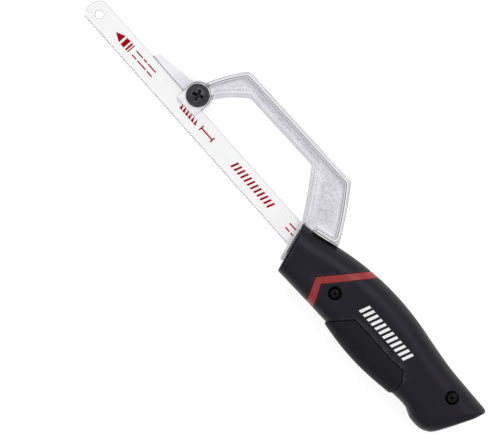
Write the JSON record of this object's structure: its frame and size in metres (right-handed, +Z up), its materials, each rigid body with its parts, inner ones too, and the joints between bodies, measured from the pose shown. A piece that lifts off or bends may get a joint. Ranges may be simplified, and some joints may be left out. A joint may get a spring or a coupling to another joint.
{
  "type": "hacksaw",
  "caption": "Compact hacksaw: cast C-frame, long narrow blade clamped at the nose by a domed screw and running back into a two-shell pistol handle with grip pads and stripe.",
  "frame": {"origin": "under the middle of the saw's box, on the ground that its left side faces", "axes": "+X from the blade's free end to the handle, +Y from the teeth to the frame's back, +Z up out of the clamp screw's head; the saw lies on its left side"},
  "size_m": [0.3128, 0.0645, 0.0262],
  "materials": {
    "cast_frame": "satin, fine cast grain in the web",
    "blade_lacquer": "white lacquer with red printed marks",
    "tooth_steel": "bare hard steel, ground teeth",
    "clamp_plate_steel": "zinc plated",
    "nut_steel": "zinc plated",
    "black_screw": "black oxide, satin",
    "shell_plastic": "fine spark-eroded texture",
    "pad_rubber": "soft matt",
    "stripe_plastic": "satin"
  },
  "bodies": {
    "saw": {"frame": "cast_frame", "clamp_nut": "nut_steel", "handle_shell_right": "shell_plastic", "handle_shell_left": "shell_plastic", "grip_pad_right": "pad_rubber", "grip_pad_left": "pad_rubber", "stripe_right": "stripe_plastic", "stripe_left": "stripe_plastic", "front_screw_right": "black_screw", "front_screw_left": "black_screw", "rear_screw": "black_screw"},
    "blade_set": {"blade": "blade_lacquer", "tooth_strip": "tooth_steel"},
    "clamp": {"clamp_plate": "clamp_plate_steel"},
    "screw": {"clamp_screw": "black_screw"}
  },
  "joints": [
    {"name": "blade_slide", "type": "slide", "parent": "saw", "child": "blade_set", "axis": [1, 0, 0], "range_m": [-0.075, 0.022]},
    {"name": "clamp_lift", "type": "slide", "parent": "saw", "child": "clamp", "axis": [0, 0, 1], "range_m": [0, 0.002]},
    {"name": "screw_turn", "type": "hinge", "parent": "clamp", "child": "screw", "pos_m": [-0.0793, 0.0008, 0.0153], "axis": [0, 0, 1], "range_deg": [0, 720]}
  ],
  "couplings": [
    {"joint": "screw_turn", "follows": "clamp_lift", "rad_per_m": 6283}
  ]
}
